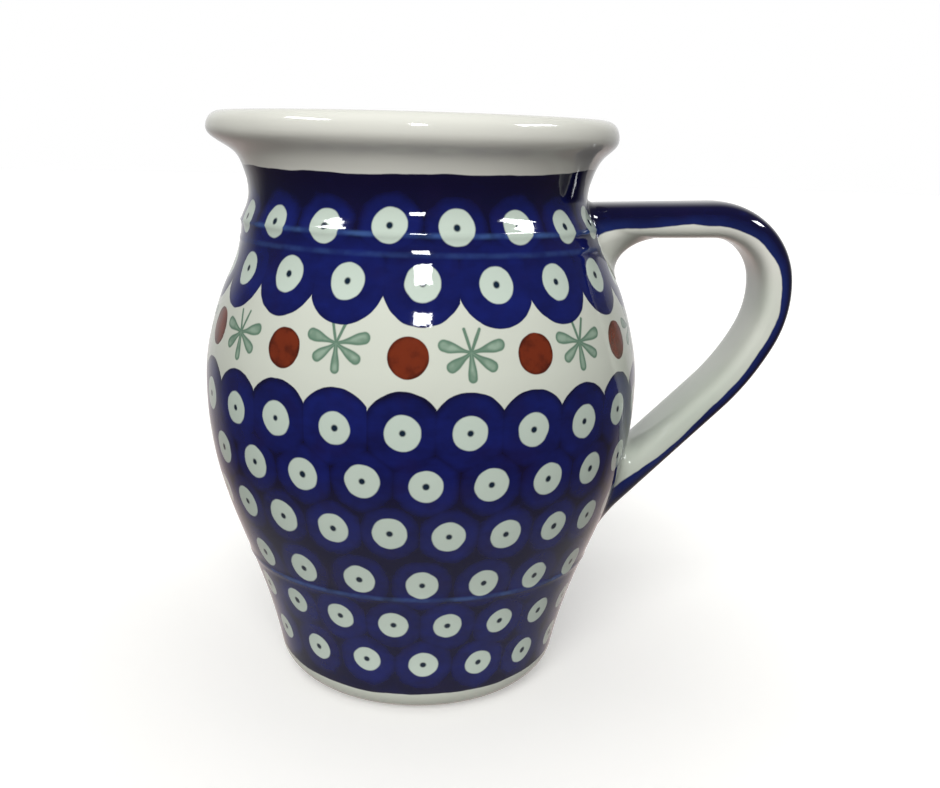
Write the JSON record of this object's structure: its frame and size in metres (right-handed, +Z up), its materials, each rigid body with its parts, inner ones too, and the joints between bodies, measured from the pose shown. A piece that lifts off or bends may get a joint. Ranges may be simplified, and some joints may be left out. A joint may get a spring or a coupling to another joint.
{
  "type": "stoneware pitcher mug",
  "caption": "Bellied glazed stoneware mug with a rolled lip, a slight pouring lip and a strap handle luted to the wall, with stamped dot decoration.",
  "frame": {"origin": "middle of the foot, on the plane that the mug stands on", "axes": "+Z up along the mug's axis, +X towards the handle, the pouring lip to -X"},
  "size_m": [0.1436, 0.106, 0.1392],
  "materials": {
    "body_glaze": "clear gloss glaze over stamped cobalt blue, rust and green on a cream body",
    "handle_glaze": "clear gloss glaze, cobalt blue outside and cream inside",
    "slip_glaze": "clear gloss glaze over cobalt blue"
  },
  "bodies": {
    "root": {"mug_body": "body_glaze", "handle": "handle_glaze", "upper_slip_joint": "slip_glaze", "lower_slip_joint": "slip_glaze"}
  },
  "joints": []
}
